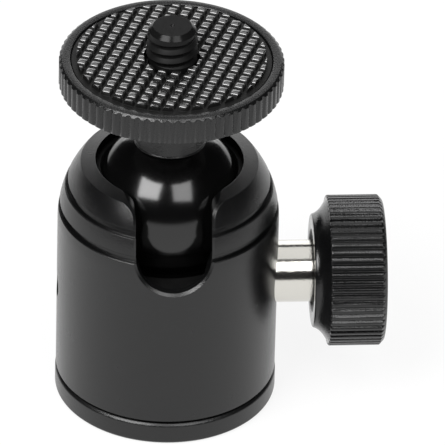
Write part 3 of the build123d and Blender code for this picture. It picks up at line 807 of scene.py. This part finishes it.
class BALLHEAD_OT_knob(Operator):
    """Knurled lock knob"""

    bl_idname = "ballhead.knob"
    bl_label = "Knob"

    def execute(self, context):
        head = context.scene.ball_head
        s = head.knob
        inner, outer, lip = 0.18 * MM, 0.12 * MM, 0.15 * MM
        waist_out, waist_up, waist_round = 0.25 * MM, 0.85 * MM, 0.8 * MM
        corner = 0.2 * MM
        tuck = 0.02 * MM
        rise = s.chamfer / 4
        bm = lathe(
            (
                (s.recess_radius, s.start, inner, 2), (s.face_radius, s.start, inner, 3),
                (s.face_radius + waist_out, s.start + waist_up, waist_round, 6),
                (s.waist_radius, s.grip_start - tuck), (s.waist_radius, s.grip_start),
                (s.radius - s.rib_depth, s.grip_start), (s.radius - corner, s.grip_start),
                (s.radius - 0.45 * corner, s.grip_start + 0.25 * corner),
                (s.radius, s.grip_start + corner),
                (s.radius, s.end - s.chamfer), (s.radius - rise, s.end - s.chamfer + rise),
                (s.radius - 2 * rise, s.end - s.chamfer + 2 * rise),
                (s.radius - s.chamfer, s.end, outer, 2), (s.head_radius, s.end, lip, 2),
                (s.head_radius, s.head_floor), (s.bolt_radius, s.head_floor),
                (s.bolt_radius, s.screw_end), (s.screw_radius, s.screw_end),
                (s.screw_radius, s.recess_floor), (s.recess_radius, s.recess_floor),
            ),
            steps=s.ribs * TOOTH_STEPS, closed=True,
        )
        knurl(bm, s.radius, s.rib_depth, s.ribs, s.grip_start - tuck / 2, s.end)
        black = blasted_black("knob black", head.finish)
        piece(bm, "lock_knob", "knob", "knob", black, along_x(head.sleeve.axis_height))
        return {"FINISHED"}


class BALLHEAD_OT_platform(Operator):
    """Knurled camera disc and its hub"""

    bl_idname = "ballhead.platform"
    bl_label = "Platform"

    def execute(self, context):
        head = context.scene.ball_head
        s = head.platform
        fine, edge, lip = 0.05 * MM, 0.08 * MM, 0.15 * MM
        bead_radius = s.hub_radius + s.hub_bead
        rows = 6
        bevel = [
            (s.radius - s.bevel_width * row / rows, s.top - s.bevel_height * (1 - row / rows))
            for row in range(rows)
        ]
        bm = lathe(
            (
                (s.stem_radius, s.hub_foot, 2 * fine, 2), (bead_radius, s.hub_foot, fine, 2),
                (bead_radius, s.hub_foot + s.hub_bead, fine, 3),
                (s.hub_radius, s.hub_foot + 2 * s.hub_bead, fine, 3),
                (s.hub_radius, s.bottom, s.hub_flare, 14), (s.radius - s.tooth_depth, s.bottom),
                (s.radius - s.foot_edge, s.bottom), (s.radius, s.bottom + s.foot_edge), *bevel,
                (s.radius - s.bevel_width, s.top, edge, 2), (s.recess_radius, s.top, lip, 3),
                (s.recess_radius, s.recess_floor), (s.stud_bore, s.recess_floor),
                (s.stud_bore, s.stud_floor), (s.stem_radius, s.stud_floor),
            ),
            steps=s.teeth * TOOTH_STEPS, closed=True,
        )
        knurl(bm, s.radius, s.tooth_depth, s.teeth, s.bottom, s.top)
        black = blasted_black("disc black", head.finish, roughness=0.27, grain=1.2)
        disc = piece(bm, "camera_disc", "platform", "platform", black)
        cut(disc, self.set_screw_hole(s))
        return {"FINISHED"}

    def set_screw_hole(self, s):
        """A cutter for the set screw's hole in the hub's back."""
        depth = 2.4 * MM
        bm = bmesh.new()
        bmesh.ops.create_cone(
            bm, cap_ends=True, segments=48, radius1=s.set_screw_radius, radius2=s.set_screw_radius,
            depth=depth,
        )
        side = Matrix.Translation((0, s.hub_radius, s.hub_foot + s.set_screw_up))
        bmesh.ops.transform(bm, matrix=side @ Matrix.Rotation(math.pi / 2, 4, "X"), verts=bm.verts)
        return bm


class BALLHEAD_OT_pad(Operator):
    """Rubber pad with its rows of bumps"""

    bl_idname = "ballhead.pad"
    bl_label = "Grip pad"

    def execute(self, context):
        head = context.scene.ball_head
        s = head.pad
        edge = 0.15 * MM
        bm = lathe(
            (
                (s.hole_radius, s.bottom), (s.radius, s.bottom), (s.radius, s.base, edge, 3),
                (s.hole_radius, s.base, edge, 3),
            ),
            steps=128, closed=True,
        )
        bump = self.bump(s)
        rows = math.ceil(s.field_radius / s.pitch)
        turn = Matrix.Rotation(s.turn, 4, "Z")
        spill = s.foot_width / 4
        for column in range(-rows, rows + 1):
            for row in range(-rows, rows + 1):
                reach = math.hypot(column, row) * s.pitch
                if s.hole_radius - spill < reach < s.field_radius + spill:
                    shift = Matrix.Translation((column * s.pitch, row * s.pitch, s.base))
                    self.stamp(bm, bump, turn @ shift, s)
        bpy.data.meshes.remove(bump)
        dull_below, bright_above = s.base + 0.3 * MM, s.base + 0.55 * MM
        rubber = moulded_rubber("pad rubber", head.finish, dull_below, bright_above)
        piece(bm, "rubber_pad", "platform", "grip_pad", rubber)
        return {"FINISHED"}

    def bump(self, s):
        """One bump as a mesh: a tapered block with a crown and rounded edges, its foot inside the pad."""
        sink, corner = 0.02 * MM, math.radians(40)
        bm = bmesh.new()
        bmesh.ops.create_cube(bm, size=1.0)
        bmesh.ops.translate(bm, vec=(0, 0, 0.5), verts=bm.verts)
        side = s.bump_height - s.crown
        bmesh.ops.scale(bm, vec=(s.foot_width, s.foot_width, side), verts=bm.verts)
        top = [vert for vert in bm.verts if vert.co.z > side / 2]
        scale_round(bm, top, s.head_width / s.foot_width)
        around_top = [edge for edge in bm.edges if all(vert in top for vert in edge.verts)]
        bmesh.ops.subdivide_edges(bm, edges=around_top, cuts=3, use_grid_fill=True)
        half = s.head_width / 2
        for vert in bm.verts:
            if vert.co.z > side / 2:
                fall = (1 - (vert.co.x / half) ** 2) * (1 - (vert.co.y / half) ** 2)
                bmesh.ops.translate(bm, vec=(0, 0, s.crown * fall), verts=[vert])
        soft = []
        for edge in bm.edges:
            first, second = edge.verts
            if edge.calc_face_angle(0.0) > corner and first.co.z + second.co.z > side / 2:
                soft.append(edge)
        bmesh.ops.bevel(
            bm, geom=soft, affect="EDGES", offset=s.rounding, segments=2, profile=0.5, material=-1,
        )
        foot = [vert for vert in bm.verts if vert.co.z < s.rounding / 10]
        bmesh.ops.translate(bm, vec=(0, 0, -sink), verts=foot)
        return make_mesh(bm, "bump")

    def stamp(self, bm, mesh, place, s):
        """Add a bump, cut off where it crosses the field's edge or the hole's."""
        one = bmesh.new()
        one.from_mesh(mesh)
        bmesh.ops.transform(one, matrix=place, verts=one.verts)
        outward = Vector((place.translation.x, place.translation.y, 0.0)).normalized()
        for radius, side in ((s.field_radius, outward), (s.hole_radius, -outward)):
            slice_at(one, outward * radius, side, True)
            bmesh.ops.holes_fill(one, edges=one.edges)
        add(bm, make_mesh(one, "trimmed"))


class BALLHEAD_OT_stud(Operator):
    """Threaded camera stud"""

    bl_idname = "ballhead.stud"
    bl_label = "Camera stud"

    def execute(self, context):
        head = context.scene.ball_head
        s = head.stud
        bm = helix(s.radius, s.depth, s.pitch, s.neck_top, s.top)
        for below in (s.bevel, s.smooth_tip):
            slice_at(bm, (0, 0, s.top - below), (0, 0, 1), False)
        self.taper(bm, s)
        self.close_ends(bm, s)
        bright_above = s.top - s.smooth_tip
        oxide = black_oxide("stud black", head.finish, 0.2, index=1.24, bright_above=bright_above)
        piece(bm, "threaded_stud", "platform", "camera_stud", oxide)
        return {"FINISHED"}

    def taper(self, bm, s):
        """Turn the tip down to a slow cone with a bevel at its end."""
        shoulder = s.tip_radius + s.bevel
        slope = (s.radius - shoulder) / (s.taper - s.bevel)
        for vert in bm.verts:
            reach = math.hypot(vert.co.x, vert.co.y)
            below = s.top - vert.co.z
            if below < s.bevel:
                wall = s.tip_radius + below
            else:
                wall = min(shoulder + slope * (below - s.bevel), s.radius)
            if below < s.smooth_tip or reach > wall:
                scale_round(bm, [vert], wall / reach)

    def close_ends(self, bm, s):
        """The flat tip with its centre mark, and the plain neck."""
        point = 0.02 * MM
        reach = s.tip_radius
        for radius, drop in ((s.dimple, 0.0), (point, s.dimple)):
            verts = grown(bm, self.open_rim(bm, True))
            scale_round(bm, verts, radius / reach)
            bmesh.ops.translate(bm, vec=(0, 0, -drop), verts=verts)
            reach = radius
        bmesh.ops.holes_fill(bm, edges=self.open_rim(bm, True))
        verts = grown(bm, self.open_rim(bm, False))
        for vert in verts:
            scale_round(bm, [vert], s.neck_radius / math.hypot(vert.co.x, vert.co.y))
        bmesh.ops.translate(bm, vec=(0, 0, s.foot - s.neck_top), verts=verts)
        bmesh.ops.holes_fill(bm, edges=self.open_rim(bm, False))
        close_up(bm)

    def open_rim(self, bm, upper):
        """The open edges of the upper or the lower end."""
        heights = [vert.co.z for vert in bm.verts]
        middle = (min(heights) + max(heights)) / 2
        return [
            edge for edge in bm.edges
            if edge.is_boundary and (edge.verts[0].co.z > middle) == upper
        ]


class BALLHEAD_OT_finishes(Operator):
    """Finishes of the pieces that keep their own shape"""

    bl_idname = "ballhead.finishes"
    bl_label = "Finishes"

    def execute(self, context):
        s = context.scene.ball_head.finish
        body = blasted_black("body black", s, roughness=0.26)
        acetal = machined_acetal("acetal", s)
        oxide = black_oxide("screw black", s, 0.28)
        dull_oxide = black_oxide("lift ring black", s, 0.5, index=1.2)
        steel = turned_metal("bright steel", s.steel, 0.22, s.edge, (4.0, 1.0, 1.0))
        spring = turned_metal("spring wire", s.steel, 0.3, s.edge, (1.0, 1.0, 1.0))
        brass = turned_metal("brass", s.brass, 0.25, s.edge, (1.0, 1.0, 4.0))
        finishes = {
            "housing": body,
            "upper_seat": acetal,
            "lower_seat": acetal,
            "lift_ring": dull_oxide,
            "cap_set_screw": oxide,
            "ring_set_screw": oxide,
            "hub_set_screw": oxide,
            "knob_screw": oxide,
            "wedge_plunger": steel,
            "clamp_screw": steel,
            "ball_stem": steel,
            "stop_ring": spring,
            "drag_spring": spring,
            "guide_ring": brass,
        }
        for node, material in finishes.items():
            finish_node(node, material)
        return {"FINISHED"}


OPERATORS = (
    BALLHEAD_OT_stage,
    BALLHEAD_OT_finishes,
    BALLHEAD_OT_foot,
    BALLHEAD_OT_ball,
    BALLHEAD_OT_sleeve,
    BALLHEAD_OT_knob,
    BALLHEAD_OT_platform,
    BALLHEAD_OT_pad,
    BALLHEAD_OT_stud,
)


class BALLHEAD_PT_panel(Panel):
    """Sidebar panel with a button for each step, and the sizes and finishes"""

    bl_idname = "BALLHEAD_PT_panel"
    bl_label = "Ball Head"
    bl_space_type = "VIEW_3D"
    bl_region_type = "UI"
    bl_category = "Ball Head"

    def draw(self, context):
        layout = self.layout
        for operator in OPERATORS:
            layout.operator(operator.bl_idname)
        head = context.scene.ball_head
        for group in BallHeadSettings.__annotations__:
            box = layout.box()
            box.label(text=group.capitalize())
            settings = getattr(head, group)
            for name in type(settings).__annotations__:
                box.prop(settings, name)


CLASSES = (
    FinishSettings,
    FootSettings,
    BallSettings,
    SleeveSettings,
    KnobSettings,
    PlatformSettings,
    PadSettings,
    StudSettings,
    StageSettings,
    BallHeadSettings,
    *OPERATORS,
    BALLHEAD_PT_panel,
)


def register():
    for cls in CLASSES:
        bpy.utils.register_class(cls)
    bpy.types.Scene.ball_head = PointerProperty(type=BallHeadSettings)


def unregister():
    del bpy.types.Scene.ball_head
    for cls in reversed(CLASSES):
        bpy.utils.unregister_class(cls)


def main():
    register()
    for operator in OPERATORS:
        group, name = operator.bl_idname.split(".")
        getattr(getattr(bpy.ops, group), name)()


if __name__ == "__main__":
    main()
